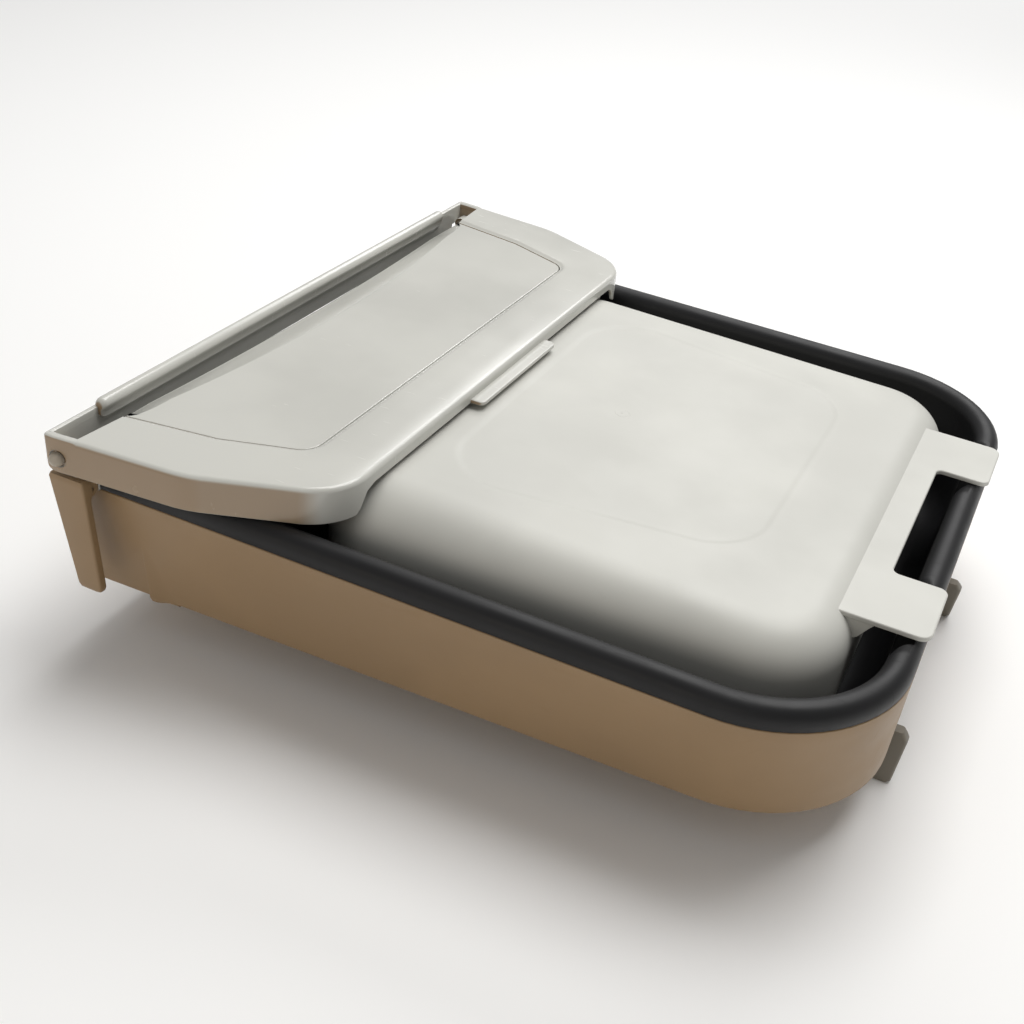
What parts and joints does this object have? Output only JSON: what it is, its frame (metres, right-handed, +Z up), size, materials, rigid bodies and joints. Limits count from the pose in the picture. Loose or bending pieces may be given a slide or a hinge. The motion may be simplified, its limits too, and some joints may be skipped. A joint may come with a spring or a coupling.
{
  "type": "cat litter box with hood",
  "caption": "Low hooded litter box with a tapered tub on feet, a lift-out pan with a rolled rim, a telescoping domed hood with a finger-notch flange, a hinged front lid and side latches.",
  "frame": {"origin": "centre of the bounding box's base, on the floor that the feet stand on", "axes": "+X towards the end with the finger-notch flange, +Y towards the far long side, +Z up out of the pan"},
  "size_m": [0.441, 0.4364, 0.133],
  "materials": {
    "tub_plastic": "satin taupe moulded plastic",
    "foot_plastic": "satin mid-grey moulded plastic",
    "pan_plastic": "satin charcoal moulded plastic",
    "hood_plastic": "semi-gloss warm light-grey moulded plastic",
    "panel_plastic": "glossy warm light-grey moulded plastic",
    "pin_plastic": "semi-gloss warm light-grey moulded plastic"
  },
  "bodies": {
    "tub": {"tub_shell": "tub_plastic", "foot_near_end": "foot_plastic", "foot_far_end": "foot_plastic", "foot_near_hinge": "foot_plastic", "foot_far_hinge": "foot_plastic"},
    "pan": {"litter_pan": "pan_plastic"},
    "hood": {"hood_shell": "hood_plastic", "grip_flange": "hood_plastic", "access_deck": "hood_plastic", "spill_lip": "hood_plastic", "hinge_post_near": "hood_plastic", "hinge_post_far": "hood_plastic", "hinge_pin_near": "pin_plastic", "hinge_pin_far": "pin_plastic", "latch_pin_near": "pin_plastic", "latch_pin_far": "pin_plastic"},
    "lid": {"lid_frame": "hood_plastic", "lid_panel": "panel_plastic", "rear_rail": "hood_plastic", "pull_tab": "hood_plastic"},
    "latch_near": {"side_latch_near": "tub_plastic"},
    "latch_far": {"side_latch_far": "tub_plastic"}
  },
  "joints": [
    {"name": "pan_lift", "type": "slide", "parent": "tub", "child": "pan", "axis": [0, 0, 1], "range_m": [0, 0.12]},
    {"name": "hood_lift", "type": "slide", "parent": "pan", "child": "hood", "axis": [0, 0, 1], "range_m": [0, 0.12]},
    {"name": "lid_hinge", "type": "hinge", "parent": "hood", "child": "lid", "pos_m": [-0.209, 0, 0.117], "axis": [0, -1, 0], "range_deg": [0, 95]},
    {"name": "latch_near_swing", "type": "hinge", "parent": "hood", "child": "latch_near", "pos_m": [-0.2065, -0.2075, 0.1004], "axis": [-1, 0, 0], "range_deg": [0, 70]},
    {"name": "latch_far_swing", "type": "hinge", "parent": "hood", "child": "latch_far", "pos_m": [-0.2065, 0.2075, 0.1004], "axis": [1, 0, 0], "range_deg": [0, 70]}
  ]
}
